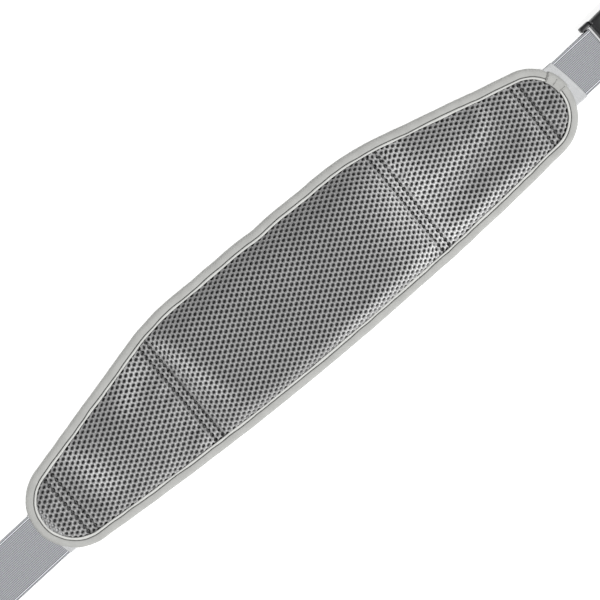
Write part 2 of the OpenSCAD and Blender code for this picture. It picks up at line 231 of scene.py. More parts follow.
def puffed_sheet():
    """The face as a sheet of cloth, blown up between its seams."""
    columns = sheet_columns()
    rows = round((pad_rise + pad_drop) / sheet_step)
    bm = bmesh.new()
    surface(bm, len(columns) - 1, rows, lambda i, j: Vector((
        columns[i], -pad_drop + (pad_rise + pad_drop) * j / rows, sewn_height)))
    outside = [f for f in bm.faces if inset_of(*f.calc_center_median()[:2]) < bind_width - 1.5 * MM]
    bmesh.ops.delete(bm, geom=outside, context="FACES")
    seam_rows = [c + s * row_offset for c in channels for s in (-1, 1)]
    pins = []
    for v in bm.verts:
        on_row = min(abs(v.co.x - r) for r in seam_rows) < 0.3 * MM
        at_edge = inset_of(v.co.x, v.co.y) < bind_width + 0.3 * MM
        if at_edge or on_row:
            pins.append(v.index)
        else:
            v.co.z += MM * (0.6 + 0.5 * noise.noise(v.co * 70))
    mesh = bpy.data.meshes.new("sheet")
    bm.to_mesh(mesh)
    bm.free()
    sheet = bpy.data.objects.new("sheet", mesh)
    bpy.context.collection.objects.link(sheet)
    sheet.vertex_groups.new(name="sewn").add(pins, 1, "REPLACE")
    cloth = sheet.modifiers.new("cloth", "CLOTH")
    cloth.settings.vertex_group_mass = "sewn"
    for setting, value in (
            ("quality", 6), ("mass", 0.15), ("tension_stiffness", 12), ("compression_stiffness", 12),
            ("shear_stiffness", 4), ("bending_stiffness", 4), ("use_pressure", True),
            ("uniform_pressure_force", 4), ("shrink_min", -0.03)):
        setattr(cloth.settings, setting, value)
    cloth.settings.effector_weights.gravity = 0
    cloth.collision_settings.use_collision = False
    scene = bpy.context.scene
    for frame_number in range(1, frames_to_settle + 1):
        scene.frame_set(frame_number)
    blown = bmesh.new()
    blown.from_object(sheet, bpy.context.evaluated_depsgraph_get())
    scene.frame_set(1)
    bpy.data.objects.remove(sheet)
    sewn = set(pins)
    loose = [v for v in blown.verts if v.index not in sewn]
    for _ in range(foam_softness):
        bmesh.ops.smooth_vert(blown, verts=loose, factor=0.5, use_axis_x=False, use_axis_y=False,
                              use_axis_z=True)
    for v in loose:
        v.co.z = sewn_height + (v.co.z - sewn_height) * fullness(v.co.x, v.co.y)
    return blown


def roll_down(distance, reach, steepness):
    """From 0 at a seam up to 1 where the puff is full. A low steepness is a soft slope, a high one steep."""
    left = 1 - min(max(distance / reach, 0), 1)
    return (1 - left ** 2) ** (1 / steepness)


sections_of_foam = (
    # from, to, rise, reach of the roll at its left and at its right end
    (-pad_half - 1, channels[0], 4.5 * MM, 1 * MM, 10 * MM),
    (channels[0], channels[1], 7.8 * MM, 32 * MM, 16 * MM),
    (channels[1], channels[2], 9.2 * MM, 26 * MM, 36 * MM),
    (channels[2], channels[3], 8.0 * MM, 14 * MM, 22 * MM),
    (channels[3], pad_half + 1, 4.5 * MM, 9 * MM, 1 * MM),
)
# reach and steepness of the roll at the pad's edge
lower_roll = (10 * MM, 2.3)
upper_roll = (20 * MM, 1.3)
tip_roll = (10 * MM, 1.6)
tip_rise = 5 * MM
upper_from = 10 * MM  # above this along Y the upper roll holds
left_steepness, right_steepness = 1.7, 2.0


def foam_shape(x, y):
    """How high the foam itself stands above the sewn edge, full between the seams and rolled down to each."""
    from_edge = inset_of(x, y) - bind_width
    if from_edge <= 0:
        return 0
    if min(abs(x - c) for c in channels) <= row_offset:
        return 0.7 * MM * (1 - math.exp(-from_stitches(x) / (1.5 * MM)))
    for low, high, rise, low_reach, high_reach in sections_of_foam:
        if low < x < high:
            break
    edge_roll = tip_roll if rise < tip_rise else lower_roll if y < upper_from else upper_roll
    rise *= roll_down(from_edge, *edge_roll)
    rise *= roll_down(x - low - row_offset, low_reach, left_steepness)
    return rise * roll_down(high - row_offset - x, high_reach, right_steepness)


sheet_mesh = puffed_sheet()
sheet_tree = BVHTree.FromBMesh(sheet_mesh)
sheet_mesh.free()

full_puff = 7.5 * MM  # the foam gives way to more than this
# how much of the face follows the blown cloth and not the foam's own shape
centre_cloth_share, wing_cloth_share = 0.3, 0.55
field_step = 1.1 * MM
field_low = Vector((-pad_half - 2 * MM, -pad_drop - 2 * MM, 0))
field_across = round(2 * (pad_half + 2 * MM) / field_step)
field_along = round((pad_rise + pad_drop + 4 * MM) / field_step)


def puff_at(x, y):
    """Height of the face above the sewn edge: the foam's own shape mixed with the cloth's and its creases."""
    foam_rise = foam_shape(x, y) * fullness(x, y)
    if sheet_tree is None or foam_rise == 0:
        return foam_rise
    hit = sheet_tree.ray_cast(Vector((x, y, 0.1)), Vector((0, 0, -1)))[0]
    cloth_rise = hit.z - sewn_height if hit else 0
    cloth_share = centre_cloth_share if abs(x) < channels[2] else wing_cloth_share
    rise = foam_rise + (cloth_rise - foam_rise) * cloth_share
    pucker = noise.noise(Vector((x * 40, y * 190, 0))) * math.exp(-from_stitches(x) / (6 * MM))
    rise = max(0, rise + 1.2 * pucker * min(rise, 3 * MM))
    return min(rise, (rise + full_puff) / 2)


field = [[puff_at(field_low.x + i * field_step, field_low.y + j * field_step)
          for i in range(field_across + 1)] for j in range(field_along + 1)]


def face_height(x, y):
    """Height of the mesh face over the table."""
    u = min(max((x - field_low.x) / field_step, 0), field_across - 1e-6)
    v = min(max((y - field_low.y) / field_step, 0), field_along - 1e-6)
    i, j = int(u), int(v)
    u, v = u - i, v - j
    low = field[j][i] * (1 - u) + field[j][i + 1] * u
    high = field[j + 1][i] * (1 - u) + field[j + 1][i + 1] * u
    drawn_in = 1.3 * MM * math.exp(-(from_stitches(x) / (0.95 * MM)) ** 2)
    return sewn_height + low * (1 - v) + high * v - drawn_in


def face_normal(x, y):
    """The way out from the mesh face."""
    reach = 1.2 * MM
    return Vector((
        face_height(x - reach, y) - face_height(x + reach, y),
        face_height(x, y - reach) - face_height(x, y + reach),
        2 * reach,
    )).normalized()


# Painted light and shade laid over the mesh's colour, on top of what the lamps do: painted highlights and
# shade that follow the slope of the face, painted shade along the rows of stitches, and painted highlights
# and shade in the places below.
painted_shading_places = (
    # middle along and across the pad, the way it runs in degrees, reach along and across, strength
    (-207, 0, 90, 28, 7, -0.10), (-190, 11, -72, 26, 8, 0.36), (-131, 37, 39, 20, 8, 0.40),
    (-90, 18, -76, 36, 6, 0.30), (106, -2, 90, 42, 30, 0.42), (56, -30, 4, 60, 5, 0.34),
    (48, 42, 0, 34, 10, -0.06), (148, 11, 3, 28, 5, 0.30), (182, 20, 50, 14, 5, 0.24),
    (158, -26, 3, 40, 4, 0.34), (121, 38, 90, 16, 8, 0.20), (150, -9, 0, 24, 5, -0.10),
    (193, 3, 80, 17, 12, -0.14), (-113, -30, 0, 10, 5, 0.16),
)


def painted_shading_at(x, y):
    """The painted light and shade on the mesh here, from the way the face climbs, the rows of stitches and
    the places above.
    """
    reach = 4 * MM
    climb_x = (face_height(x + reach, y) - face_height(x - reach, y)) / (2 * reach)
    climb_y = (face_height(x, y + reach) - face_height(x, y - reach)) / (2 * reach)
    # painted highlights and shade that follow the slope of the face
    total = 0.30 * min(abs(climb_x), 0.5) + 0.30 * min(max(climb_y, -0.3), 0.6)
    # painted shade along the rows of channel stitches
    total -= 0.4 * math.exp(-(from_stitches(x) / (0.9 * MM)) ** 2)
    total += 0.08 if channels[2] < x < channels[3] else 0.05 if channels[0] < x < channels[1] else 0
    for middle_x, middle_y, way, along, across, share in painted_shading_places:
        way = math.radians(way)
        dx, dy = x / MM - middle_x, y / MM - middle_y
        ahead = (dx * math.cos(way) + dy * math.sin(way)) / along
        aside = (dy * math.cos(way) - dx * math.sin(way)) / across
        total += share * math.exp(-(ahead ** 4) - aside ** 2)
    return total


# The pad moves as five bodies, and each layer is made in four lengths that meet
# in the middle of a section, each with one channel in it.
wing_middle = (channels[2] + channels[3]) / 2
fold_reach = 6 * MM
lengths = [
    ("left_end", -pad_half - 1, -wing_middle, "left_wing", "left_tip", channels[0], ["left_tip"]),
    ("left_half", -wing_middle, 0, "pad_centre", "left_wing", channels[1], ["left_wing", "centre"]),
    ("right_half", 0, wing_middle, "pad_centre", "right_wing", channels[2], ["right_wing"]),
    ("right_end", wing_middle, pad_half + 1, "right_wing", "right_tip", channels[3], ["right_tip"]),
]


def fold(piece, sections, layer_name):
    """Bakes a length of the pad where it lies and lets it stand for its CAD layers."""
    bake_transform(piece)
    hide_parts(*[f"{section}_{layer_name}" for section in sections])


# ---- Mesh face --------------------------------------------------------------------
# The face is a thick knitted air mesh: columns of rounded holes, each set half
# a step from the next, with plump ribs of light grey yarn between them.

column_step = 3.375 * MM
hole_step = 4.3 * MM
hole_wide = 1.45 * MM
hole_high = 1.06 * MM
hole_tilt = math.radians(14)
corner_crest = 0.45 * MM  # height of the ribs where three meet, and half-way between
rib_crest = 0.22 * MM
rib_rings = (
    # share of the hole's size, height over the sheet
    (1.26, 0.05 * MM),
    (1.10, -0.22 * MM),
    (1.02, -0.60 * MM),
    (1.0, -1.15 * MM),
)


def finished(name, bm, material, crease=None):
    """Turns a bmesh into a piece of one material, smooth apart from creases over an angle."""
    mesh = bpy.data.meshes.new(name)
    bm.to_mesh(mesh)
    bm.free()
    piece = bpy.data.objects.new(name, mesh)
    bpy.context.collection.objects.link(piece)
    mesh.materials.append(material)
    mesh.shade_smooth()
    if crease:
        mesh.set_sharp_from_angle(angle=math.radians(crease))
    return piece


def new_material(name, colour, roughness):
    """A material with its node tree and its shader."""
    material = bpy.data.materials.new(name)
    material.use_nodes = True
    shader = material.node_tree.nodes["Principled BSDF"]
    shader.inputs["Base Color"].default_value = (*colour, 1)
    shader.inputs["Roughness"].default_value = roughness
    return material, material.node_tree, shader


def node(tree, kind, settings=(), **inputs):
    """Adds a node, sets its inputs by name and returns it."""
    made = tree.nodes.new(kind)
    for key, value in dict(settings).items():
        setattr(made, key, value)
    for key, value in inputs.items():
        socket = made.inputs[key.replace("_", " ")]
        if isinstance(value, bpy.types.NodeSocket):
            tree.links.new(value, socket)
        else:
            socket.default_value = value
    return made


def ranged(tree, value, low, high, to_low=0.0, to_high=1.0):
    """A pattern's values from low to high, spread over another range."""
    return node(tree, "ShaderNodeMapRange", Value=value, From_Min=low, From_Max=high, To_Min=to_low,
                To_Max=to_high).outputs["Result"]


def combined(tree, operation, first, second):
    """Two patterns, or a pattern and a number, taken together."""
    made = node(tree, "ShaderNodeMath", {"operation": operation})
    tree.links.new(first, made.inputs[0])
    if isinstance(second, bpy.types.NodeSocket):
        tree.links.new(second, made.inputs[1])
    else:
        made.inputs[1].default_value = second
    return made.outputs[0]


def between(tree, pattern, dark, light):
    """A colour that goes from dark to light with a pattern."""
    mix = node(tree, "ShaderNodeMix", {"data_type": "RGBA"}, Factor=pattern)
    mix.inputs[6].default_value = (*dark, 1)
    mix.inputs[7].default_value = (*light, 1)
    return mix.outputs[2]


def scaled(tree, colour, amount):
    """A colour made darker or paler by a pattern."""
    made = node(tree, "ShaderNodeVectorMath", {"operation": "SCALE"}, Scale=amount)
    tree.links.new(colour, made.inputs[0])
    return made.outputs[0]


def relief(tree, shader, height, strength, distance):
    """Raises a pattern from the surface."""
    bump = node(tree, "ShaderNodeBump", Strength=strength, Distance=distance, Height=height)
    tree.links.new(bump.outputs["Normal"], shader.inputs["Normal"])


mesh_yarn, tree, shader = new_material("mesh_yarn", (0.42, 0.42, 0.42), 0.62)
place = node(tree, "ShaderNodeTexCoord").outputs["Object"]
strands = node(tree, "ShaderNodeTexNoise", Vector=place, Scale=2600.0, Detail=2.0,
               Roughness=0.6).outputs["Fac"]
cloudy = node(tree, "ShaderNodeTexNoise", Vector=place, Scale=60.0, Detail=3.0).outputs["Fac"]
crest = node(tree, "ShaderNodeAttribute", {"attribute_name": "crest"}).outputs["Fac"]
stretch = node(tree, "ShaderNodeAttribute", {"attribute_name": "stretch"}).outputs["Fac"]
on_strand = combined(tree, "MULTIPLY", ranged(tree, strands, 0.3, 0.72), 0.35)
# Painted light and shade: the yarn is paler up on the rib crests and darker down the hole walls, by each
# point's height.
painted_rib_light = combined(tree, "MULTIPLY", ranged(tree, crest, 0.14, 0.44), 0.8)
yarn_colour = between(tree, combined(tree, "ADD", on_strand, painted_rib_light),
                      (0.22, 0.22, 0.222), (0.66, 0.66, 0.652))
# The yarn's colour is scaled by a random cloudy tone and by the painted light and shade over the face.
tone = combined(tree, "MULTIPLY", ranged(tree, cloudy, 0.3, 0.7, 0.94, 1.06),
                ranged(tree, stretch, -0.4, 1.0, 0.23, 1.98))
tree.links.new(scaled(tree, yarn_colour, tone), shader.inputs["Base Color"])
relief(tree, shader, strands, 0.8, 0.25 * MM)
shader.inputs["Sheen Weight"].default_value = 0.4
shader.inputs["Sheen Roughness"].default_value = 0.5

# The net is cut flat and laid over the puffed face, so it takes more cloth than the
# plan shows, and its holes crowd together where the face is steep. A column of
# holes runs down the middle of every channel.
columns_in_centre = 34  # from the middle of the pad to a channel
columns_in_wing = 34
half_columns = columns_in_centre + columns_in_wing + 10
flat_stretch = 1.12  # how much more cloth than plan there may be
heights = np.array(field)
slope_y, slope_x = np.gradient(heights, field_step)
across_x = field_low.x + field_step * np.arange(field_across + 1)
along_y = field_low.y + field_step * np.arange(field_along + 1)
cloth_x = np.cumsum(np.sqrt(1 + slope_x ** 2), axis=1) * field_step
cloth_y = np.cumsum(np.sqrt(1 + slope_y ** 2), axis=0) * field_step
channel_columns = [k * column_step for k in (-columns_in_centre - columns_in_wing, -columns_in_centre,
                                             columns_in_centre, columns_in_centre + columns_in_wing)]
for row in cloth_x:
    at_channels = np.interp(channels, across_x, row)
    before, after = row[0] - at_channels[0], row[-1] - at_channels[-1]
    marks = [channel_columns[0] + before, *channel_columns, channel_columns[-1] + after]
    row[:] = np.interp(row, [row[0], *at_channels, row[-1]], marks)
middle_row = round(-field_low.y / field_step)
cloth_y -= cloth_y[middle_row]

flat_step = 1.5 * MM
flat_end = (half_columns + 4) * column_step
flat_x = np.arange(-flat_end, flat_end, flat_step)
flat_y = np.arange(-pad_drop - 20 * MM, pad_rise + 20 * MM, flat_step)
laid_x = np.tile(flat_x, (len(flat_y), 1))
laid_y = np.tile(flat_y[:, None], (1, len(flat_x)))
for _ in range(4):  # each round starts from where the last one laid the net
    rows_now = np.clip(np.rint((laid_y - field_low.y) / field_step).astype(int), 0, field_along)
    columns_now = np.clip(np.rint((laid_x - field_low.x) / field_step).astype(int), 0, field_across)
    for j in range(len(flat_y)):
        for i in range(len(flat_x)):
            laid_x[j, i] = np.interp(flat_x[i], cloth_x[rows_now[j, i]], across_x)
            laid_y[j, i] = np.interp(flat_y[j], cloth_y[:, columns_now[j, i]], along_y)
laid_tables = (laid_x.tolist(), laid_y.tolist())


def laid(x, y):
    """Where a place on the flat net comes to lie over the table."""
    u = min(max((x - flat_x[0]) / flat_step, 0), len(flat_x) - 1.001)
    v = min(max((y - flat_y[0]) / flat_step, 0), len(flat_y) - 1.001)
    i, j = int(u), int(v)
    u, v = u - i, v - j
    found = []
    for table in laid_tables:
        low = table[j][i] * (1 - u) + table[j][i + 1] * u
        high = table[j + 1][i] * (1 - u) + table[j + 1][i + 1] * u
        found.append(low * (1 - v) + high * v)
    return found


def hole_cell(bm, centre):
    """One hole with half of each rib round it, a twelve-sided patch that fits its neighbours."""
    corner_y = hole_step / 2
    slant = (column_step ** 2 + corner_y ** 2) / 2
    side_x = slant / column_step
    corner_x = (slant - corner_y ** 2) / column_step
    half_turn = [Vector(c) for c in ((side_x, 0, 0), (corner_x, corner_y, 0), (-corner_x, corner_y, 0))]
    corners = half_turn + [-c for c in half_turn]
    rim = []
    for a, b in zip(corners, corners[1:] + corners[:1]):
        rim += [a + Vector((0, 0, corner_crest)), (a + b) / 2 + Vector((0, 0, rib_crest))]
    ring = bmesh.ops.create_circle(bm, cap_ends=True, segments=12, radius=1)["verts"]
    ring.sort(key=lambda v: math.atan2(v.co.y, v.co.x) % (2 * math.pi))
    for v, spot in zip(ring, rim):
        v.co = centre + spot
    face = ring[0].link_faces[0]
    for share, height in rib_rings:
        face = bmesh.ops.extrude_discrete_faces(bm, faces=[face])["faces"][0]
        for v in face.verts:
            turn = math.atan2(v.co.y - centre.y, v.co.x - centre.x) - hole_tilt
            turn = math.atan2(math.sin(turn) * hole_wide, math.cos(turn) * hole_high)
            spot = Vector((hole_wide * share * math.cos(turn), hole_high * share * math.sin(turn), height))
            v.co = centre + Matrix.Rotation(hole_tilt, 3, "Z") @ spot
    bmesh.ops.delete(bm, geom=[face], context="FACES_ONLY")


def nearest_hole(x, y):
    """The middle of the hole whose cell holds this spot."""
    best = None
    for column in range(round(x / column_step) - 1, round(x / column_step) + 2):
        shift = hole_step / 2 if column % 2 else 0
        middle = Vector((column * column_step, round((y - shift) / hole_step) * hole_step + shift, 0))
        gap = (middle.x - x) ** 2 + (middle.y - y) ** 2
        if best is None or gap < best[0]:
            best = (gap, middle)
    return best[1]


def net(low, high):
    """The holes whose middles lie between two places along the pad, laid over its face."""
    pair_step = 2 * column_step
    flat_half = (half_columns + 2) * column_step
    first_pair = math.floor(max(low * flat_stretch, -flat_half) / pair_step) - 3
    pairs = math.ceil(min(high * flat_stretch, flat_half) / pair_step) + 3 - first_pair
    first_row = math.floor(-pad_drop * flat_stretch / hole_step) - 1
    rows = math.ceil(pad_rise * flat_stretch / hole_step) + 1 - first_row
    bm = bmesh.new()
    for column in (0, 1):
        hole_cell(bm, Vector((column * column_step, column * hole_step / 2, 0)))
    bmesh.ops.translate(bm, verts=bm.verts, vec=(first_pair * pair_step, first_row * hole_step, 0))
    swatch = finished("swatch", bm, mesh_yarn)
    for count, offset in ((rows, (0, hole_step, 0)), (pairs, (pair_step, 0, 0))):
        repeat = swatch.modifiers.new("repeat", "ARRAY")
        repeat.count = count
        repeat.use_relative_offset = False
        repeat.use_constant_offset = True
        repeat.constant_offset_displace = offset
    bm = bmesh.new()
    bm.from_object(swatch, bpy.context.evaluated_depsgraph_get())
    bpy.data.objects.remove(swatch)
    spare = []
    for f in bm.faces:
        middle = nearest_hole(*f.calc_center_median()[:2])
        x, y = laid(middle.x, middle.y)
        if not low <= x < high or inset_of(x, y) < bind_width - 1.4 * MM:
            spare.append(f)
    bmesh.ops.delete(bm, geom=spare, context="FACES")
    bmesh.ops.remove_doubles(bm, verts=bm.verts, dist=0.02 * MM)
    crest = bm.verts.layers.float.new("crest")
    stretch = bm.verts.layers.float.new("stretch")
    for v in bm.verts:
        # each point's height, which the yarn's painted light and shade follow
        v[crest] = v.co.z / MM
        (x, y), lift = laid(v.co.x, v.co.y), v.co.z
        by_channel = math.exp(-(min(abs(x - c) for c in channels) / (5 * MM)) ** 2)
        x += 0.5 * MM * by_channel * noise.noise(Vector((x, y, 0)) * 330)
        y += 0.8 * MM * by_channel * noise.noise(Vector((y, x, 0.5)) * 330)
        normal = face_normal(x, y)
        v.co = Vector((x, y, face_height(x, y))) + normal * lift
        v[stretch] = painted_shading_at(x, y)
    return bm


for name, low, high, inner, outer, channel, sections in lengths:
    face = finished(f"mesh_face_{name}", net(low, high), mesh_yarn)
    fold(face, sections, "mesh_face")

# ---- Foam core ----------------------------------------------------------------------
# Under the mesh lies a soft foam core, laminated to a dark knitted lining
# whose fine grid shows at the bottom of every hole.

lining, tree, shader = new_material("dark_lining", (0.17, 0.17, 0.172), 0.9)
place = node(tree, "ShaderNodeTexCoord").outputs["Object"]
stripes = [node(tree, "ShaderNodeTexWave", {"bands_direction": way}, Vector=place, Scale=330.0,
                Distortion=0.6).outputs["Fac"] for way in "XY"]
grid = combined(tree, "MAXIMUM", *stripes)
tree.links.new(between(tree, grid, (0.03, 0.03, 0.03), (0.12, 0.12, 0.122)), shader.inputs["Base Color"])
relief(tree, shader, grid, 0.6, 0.2 * MM)

foam_step = 2.4 * MM
foam_depth = 1.75 * MM  # the lining's depth below the mesh face
foam_floor = 1.7 * MM


def slab(low, high, margin):
    """A flat grid over one length of the pad, cut off a margin in from the edge."""
    low, high = max(low, -pad_half), min(high, pad_half)
    across = round((high - low) / foam_step)
    rows = round((pad_rise + pad_drop) / foam_step)
    bm = bmesh.new()
    surface(bm, across, rows, lambda i, j: Vector((
        low + (high - low) * i / across, -pad_drop + (pad_rise + pad_drop) * j / rows, 0)))
    outside = [f for f in bm.faces if inset_of(*f.calc_center_median()[:2]) < margin]
    bmesh.ops.delete(bm, geom=outside, context="FACES")
    return bm


for name, low, high, inner, outer, channel, sections in lengths:
    bm = slab(low, high, 4.5 * MM)
    bottom = bm.faces[:]
    raised = bmesh.ops.extrude_face_region(bm, geom=bottom)["geom"]
    for v in bm.verts:
        v.co.z = foam_floor
    for v in (g for g in raised if isinstance(g, bmesh.types.BMVert)):
        v.co.z = face_height(v.co.x, v.co.y) - foam_depth
    bmesh.ops.recalc_face_normals(bm, faces=bm.faces)
    core = finished(f"foam_core_{name}", bm, lining, crease=60)
    fold(core, sections, "foam")

# ---- Back cover ----------------------------------------------------------------------
# The back is a plain knitted cloth, drawn in a little where the channel
# stitches come through, and lying flat on the table between them.

cover_cloth, tree, shader = new_material("back_knit", (0.36, 0.365, 0.36), 0.85)
place = node(tree, "ShaderNodeTexCoord").outputs["Object"]
wales = node(tree, "ShaderNodeTexWave", {"bands_direction": "X"}, Vector=place, Scale=420.0, Distortion=1.5,
             Detail=1.0).outputs["Fac"]
tufts = node(tree, "ShaderNodeTexNoise", Vector=place, Scale=1500.0, Detail=2.0).outputs["Fac"]
tree.links.new(between(tree, tufts, (0.27, 0.275, 0.27), (0.46, 0.465, 0.455)), shader.inputs["Base Color"])
relief(tree, shader, combined(tree, "ADD", wales, tufts), 0.5, 0.2 * MM)
shader.inputs["Sheen Weight"].default_value = 0.2

cover_thick = 0.5 * MM


def back_height(x, y):
    """Height of the back cover's outer face over the table."""
    inside = inset_of(x, y) - bind_width
    if inside < 0:
        return 1.15 * MM
    tucked = 0.75 * math.exp(-(from_stitches(x) / (2.6 * MM)) ** 2)
    ripple = 0.12 * noise.noise(Vector((x, y, 0)) * 60)
    return MM * (0.2 + max(tucked, 0.95 * math.exp(-inside / (3 * MM))) + max(0, ripple))


for name, low, high, inner, outer, channel, sections in lengths:
    bm = slab(low, high, 3 * MM)
    raised = bmesh.ops.extrude_face_region(bm, geom=bm.faces[:])["geom"]
    for v in bm.verts:
        v.co.z = back_height(v.co.x, v.co.y)
    for v in (g for g in raised if isinstance(g, bmesh.types.BMVert)):
        v.co.z += cover_thick
    bmesh.ops.recalc_face_normals(bm, faces=bm.faces)
    cover = finished(f"back_cover_{name}", bm, cover_cloth, crease=60)
    fold(cover, sections, "back_cover")

# ---- Edge binding ----------------------------------------------------------------------
# A soft knitted tape is folded round the whole edge and sewn through with one
# row of lockstitch, close to its inner fold, which stands up as a thin lip with a
# painted highlight along its top and painted shade in the seam's groove.

binding_cloth, tree, shader = new_material("binding_knit", (0.60, 0.60, 0.575), 0.85)
place = node(tree, "ShaderNodeTexCoord").outputs["Object"]
fine = node(tree, "ShaderNodeTexNoise", Vector=place, Scale=2200.0, Detail=2.0).outputs["Fac"]
broad = node(tree, "ShaderNodeTexNoise", Vector=place, Scale=120.0, Detail=3.0).outputs["Fac"]
painted_seam_shading = node(tree, "ShaderNodeAttribute", {"attribute_name": "painted_seam_shading"}).outputs["Fac"]
# The knit's colour is scaled by a random broad tone and by the painted shade and highlight along the seam and
# lip.
tone = combined(tree, "MULTIPLY", ranged(tree, broad, 0.3, 0.7, 0.93, 1.05), painted_seam_shading)
knit_colour = between(tree, fine, (0.36, 0.362, 0.349), (0.52, 0.522, 0.503))
tree.links.new(scaled(tree, knit_colour, tone), shader.inputs["Base Color"])
relief(tree, shader, fine, 0.5, 0.15 * MM)
shader.inputs["Sheen Weight"].default_value = 0.25
shader.inputs["Sheen Roughness"].default_value = 0.4

seam_depth = 6.0 * MM
seam_pitch = 3.3 * MM


def seam_sway(point):
    """How far the lockstitch wanders in from its line."""
    return MM * (0.5 * noise.noise(point * 40 + Vector((7, 0, 0))) + 0.25 * noise.noise(point * 130))


def edge_runs(low, high):
    """The stretches of the pad's edge that lie between two places along it."""
    start = next(k for k, (point, out) in enumerate(edge) if not low < point.x < high)
    loop = edge[start:] + edge[:start + 1]
    runs, run = [], []
    for (a, a_out), (b, b_out) in zip(loop, loop[1:]):
        for cut in (low, high):
            if (a.x < cut) != (b.x < cut):
                share = (cut - a.x) / (b.x - a.x)
                run.append((a.lerp(b, share), a_out.lerp(b_out, share).normalized()))
                if len(run) > 1:
                    runs.append(run)
                    run = []
        if low < b.x < high:
            run.append((b, b_out))
    return runs


def tape_section(point):
    """The folded tape cut across: depth in from the edge and height, once round."""
    roll = 3.1 * MM
    half = edge_high / 2
    swell = 0.25 * MM * noise.noise(point * 60 + Vector((0, 3, 0)))
    seam = seam_depth + seam_sway(point)
    lip = bind_width + 0.35 * seam_sway(point * 1.3 + Vector((1, 1, 0)))
    outer = [(lip, 0.5 * MM), (lip - 0.3 * MM, 0.08 * MM), (seam + 0.6 * MM, 0), (seam, 0.35 * MM),
             (seam - 0.5 * MM, 0)]
    for k in range(9):
        turn = math.pi * k / 8 - math.pi / 2
        outer.append((roll - roll * math.cos(turn), half + (half + swell) * math.sin(turn)))
    top = edge_high + swell
    outer += [
        # the last number is painted shade in the groove of the seam and on the lip's inner side, and a
        # painted highlight along the top of the lip
        (roll + 1.3 * MM, top + 0.06 * MM), (seam - 0.6 * MM, top), (seam - 0.25 * MM, top - 0.3 * MM, 0.5),
        (seam, top - 1.0 * MM, 0.15), (seam + 0.2 * MM, top - 0.25 * MM, 0.3),
        (seam + 0.45 * MM, top + 0.3 * MM, 1.35), (lip - 0.5 * MM, top + 0.4 * MM, 1.5),
        (lip - 0.1 * MM, top + 0.1 * MM, 1.3), (lip, top - 0.4 * MM, 0.3),
        (lip - 0.3 * MM, top - 0.95 * MM, 0.15),
    ]
    inner = [(roll, edge_high - 1.1 * MM), (1.2 * MM, half), (roll, 1.05 * MM), (lip - 0.3 * MM, 1.05 * MM)]
    return [(d, max(0, z), *tone) for d, z, *tone in outer + inner]


def tape(bm, run, section):
    """Sweeps a section along a stretch of the edge; its points may carry a painted shading factor as a third
    number.
    """
    shapes = [section(point) for point, out in run]
    count = len(shapes[0])
    painted_seam_shading = bm.verts.layers.float.get("painted_seam_shading") or bm.verts.layers.float.new("painted_seam_shading")
    tones = {}

    def place_corner(i, j):
        point, out = run[j]
        depth, height, *tone = shapes[j][i % count]
        spot = point + out * (edge_sway(point) - depth)
        spot = Vector((spot.x, spot.y, height))
        tones[spot.freeze()] = tone[0] if tone else 1
        return spot

    made = surface(bm, count, len(run) - 1, place_corner)
    for v in made:
        v[painted_seam_shading] = tones.get(v.co.copy().freeze(), 1)
    bmesh.ops.remove_doubles(bm, verts=made, dist=0.001 * MM)


def thread_along(bm, spots, radius):
    """Stitches as small plump lengths of thread, one between the two ends of each spot."""
    end_share = 0.6  # how thin the thread is where it goes into the cloth
    for a, b in spots:
        axis = b - a
        turned = axis.to_track_quat("Z", "Y").to_matrix().to_4x4()
        made = bmesh.ops.create_cone(
            bm, cap_ends=True, segments=6, radius1=radius * end_share, radius2=radius * end_share,
            depth=axis.length, matrix=Matrix.Translation((a + b) / 2) @ turned)["verts"]
        ahead = axis.normalized()
        sides = list({e for v in made for e in v.link_edges
                      if abs((e.verts[0].co - e.verts[1].co).dot(ahead)) > axis.length * 0.9})
        cut = bmesh.ops.subdivide_edges(bm, edges=sides, cuts=2)["geom_inner"]
        for v in (g for g in cut if isinstance(g, bmesh.types.BMVert)):
            core = a + axis * ((v.co - a).dot(axis) / axis.length_squared)
            v.co = core + (v.co - core) / end_share


# The thread's near-black colour is painted shade, standing for the shadow down the grooves the stitches lie
# in.
thread, tree, shader = new_material("sewing_thread", (0.30, 0.30, 0.30), 0.6)
place = node(tree, "ShaderNodeTexCoord").outputs["Object"]
twist = node(tree, "ShaderNodeTexWave", {"bands_direction": "DIAGONAL"}, Vector=place,
             Scale=1100.0).outputs["Fac"]
relief(tree, shader, twist, 0.6, 0.08 * MM)
tree.links.new(between(tree, twist, (0.05, 0.05, 0.05), (0.16, 0.16, 0.16)), shader.inputs["Base Color"])


def seam_spots(run, height):
    """Where the lockstitch along one stretch of the edge goes in and out."""
    spots, since = [], 0
    for (a, a_out), (b, b_out) in zip(run, run[1:]):
        since += (b - a).length
        if since > seam_pitch:
            since = 0
            spot = b + b_out * (edge_sway(b) - seam_depth - seam_sway(b))
            spot.z = height
            half_stitch = Vector((-b_out.y, b_out.x, 0)) * 0.4 * seam_pitch
            spots.append((spot - half_stitch, spot + half_stitch))
    return spots


for name, low, high, inner, outer, channel, sections in lengths:
    bm = bmesh.new()
    for run in edge_runs(low, high):
        tape(bm, run, tape_section)
    bmesh.ops.holes_fill(bm, edges=[e for e in bm.edges if e.is_boundary], sides=0)
    bmesh.ops.recalc_face_normals(bm, faces=bm.faces)
    binding = finished(f"edge_binding_{name}", bm, binding_cloth, crease=70)
    fold(binding, sections, "binding")
    bm = bmesh.new()
    for run in edge_runs(low, high):
        thread_along(bm, seam_spots(run, edge_high - 0.55 * MM), 0.2 * MM)
        thread_along(bm, seam_spots(run, 0.33 * MM), 0.16 * MM)
    lockstitch = finished(f"edge_lockstitch_{name}", bm, thread)
    fold(lockstitch, [], "binding")

# ---- Channel stitching --------------------------------------------------------------
# Two rows of strong thread cross the pad at each channel, pulled down into the
# mesh, and come out on the back cover.

